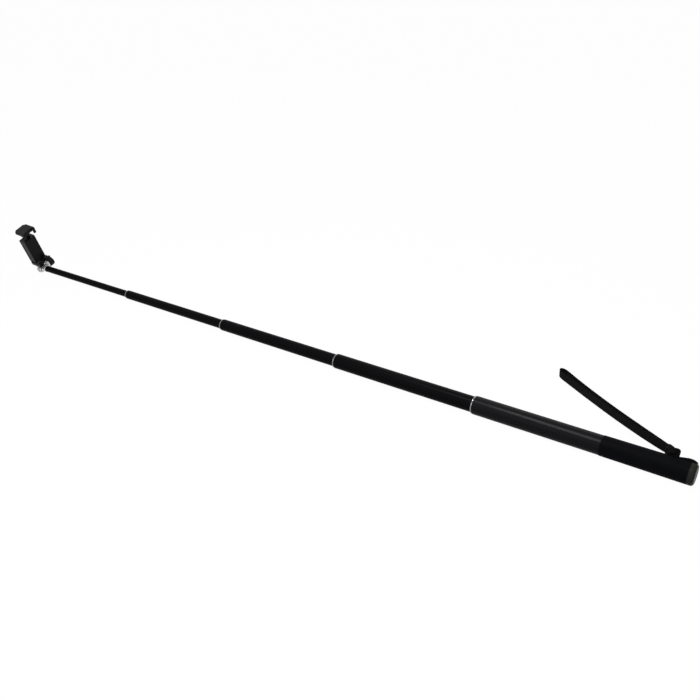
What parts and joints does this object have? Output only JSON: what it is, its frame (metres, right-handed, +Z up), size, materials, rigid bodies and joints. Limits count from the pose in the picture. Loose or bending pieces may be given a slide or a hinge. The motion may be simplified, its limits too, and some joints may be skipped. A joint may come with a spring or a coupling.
{
  "type": "selfie stick",
  "caption": "Telescopic selfie stick drawn out to its full length, with a tilting spring loaded phone clamp at one end and a grip with a wrist strap at the other.",
  "frame": {"origin": "centre of the end cap's flat end face", "axes": "+X along the stick from the handle to the head, +Z up from the table that it lies on"},
  "size_m": [1.1164, 0.1923, 0.098],
  "materials": {
    "tube_paint": "satin black paint",
    "grip_black": "matte, fine grain",
    "cap_grey": "glossy dark grey",
    "ring_bright": "bright plated",
    "fitting_silver": "satin silver",
    "steel": "bright zinc plated",
    "head_black": "satin black",
    "bush_grey": "natural moulded",
    "pad_rubber": "matte, ribbed",
    "insert_brass": "turned",
    "webbing": "woven"
  },
  "bodies": {
    "handle": {"end_cap": "cap_grey", "grip_sleeve": "grip_black", "strap_loop": "webbing", "strap_keeper": "webbing", "strap_tab": "webbing", "handle_tube": "tube_paint", "handle_mouth_ring": "ring_bright", "handle_front_bush": "bush_grey"},
    "section_1": {"section_1_tube": "tube_paint", "section_1_mouth_ring": "ring_bright", "section_1_front_bush": "bush_grey", "section_1_tail_bush": "bush_grey"},
    "section_2": {"section_2_tube": "tube_paint", "section_2_mouth_ring": "ring_bright", "section_2_front_bush": "bush_grey", "section_2_tail_bush": "bush_grey"},
    "section_3": {"section_3_tube": "tube_paint", "section_3_mouth_ring": "ring_bright", "section_3_front_bush": "bush_grey", "section_3_tail_bush": "bush_grey"},
    "section_4": {"section_4_tube": "tube_paint", "section_4_tail_bush": "bush_grey", "tube_fitting": "fitting_silver", "fitting_rivet": "steel"},
    "yoke": {"yoke": "fitting_silver", "hinge_nut": "steel", "quarter_inch_stud": "steel", "near_friction_washer": "bush_grey", "far_friction_washer": "bush_grey"},
    "tilt_knob": {"tilt_knob": "head_black", "knob_ferrule": "ring_bright", "hinge_bolt": "steel"},
    "lock_ring": {"lock_ring": "head_black"},
    "clamp": {"clamp_body": "head_black", "rear_cover": "head_black", "threaded_insert": "insert_brass", "cover_screw_1": "steel", "cover_screw_2": "steel", "cover_screw_3": "steel", "cover_screw_4": "steel", "lower_pad_far": "pad_rubber", "lower_pad_near": "pad_rubber", "guide_rod_far": "steel", "guide_rod_near": "steel", "jaw_spring_far": "steel", "jaw_spring_near": "steel"},
    "upper_jaw": {"upper_jaw": "head_black", "upper_pad": "pad_rubber"}
  },
  "joints": [
    {"name": "section_1_slide", "type": "slide", "parent": "handle", "child": "section_1", "axis": [1, 0, 0], "range_m": [-0.2033, 0]},
    {"name": "section_2_slide", "type": "slide", "parent": "section_1", "child": "section_2", "axis": [1, 0, 0], "range_m": [-0.2033, 0]},
    {"name": "section_3_slide", "type": "slide", "parent": "section_2", "child": "section_3", "axis": [1, 0, 0], "range_m": [-0.2033, 0]},
    {"name": "section_4_slide", "type": "slide", "parent": "section_3", "child": "section_4", "axis": [1, 0, 0], "range_m": [-0.2033, 0]},
    {"name": "head_tilt", "type": "hinge", "parent": "section_4", "child": "yoke", "pos_m": [1.108, 0, 0], "axis": [0, 0.9397, -0.342], "range_deg": [-8, 184]},
    {"name": "tilt_knob_turn", "type": "hinge", "parent": "yoke", "child": "tilt_knob", "pos_m": [1.108, 0, 0], "axis": [0, 0.9397, -0.342], "continuous": true},
    {"name": "lock_ring_turn", "type": "hinge", "parent": "yoke", "child": "lock_ring", "pos_m": [1.10709, 0.00443, 0.01219], "axis": [-0.0698, 0.3412, 0.9374], "continuous": true},
    {"name": "clamp_swivel", "type": "hinge", "parent": "yoke", "child": "clamp", "pos_m": [1.10674, 0.00614, 0.01687], "axis": [-0.0698, 0.3412, 0.9374], "continuous": true},
    {"name": "upper_jaw_slide", "type": "slide", "parent": "clamp", "child": "upper_jaw", "axis": [-0.0698, 0.3412, 0.9374], "range_m": [0, 0.027], "stiffness_N_per_m": 200, "springref_m": -0.03, "deforming": ["jaw_spring_far", "jaw_spring_near"]}
  ]
}
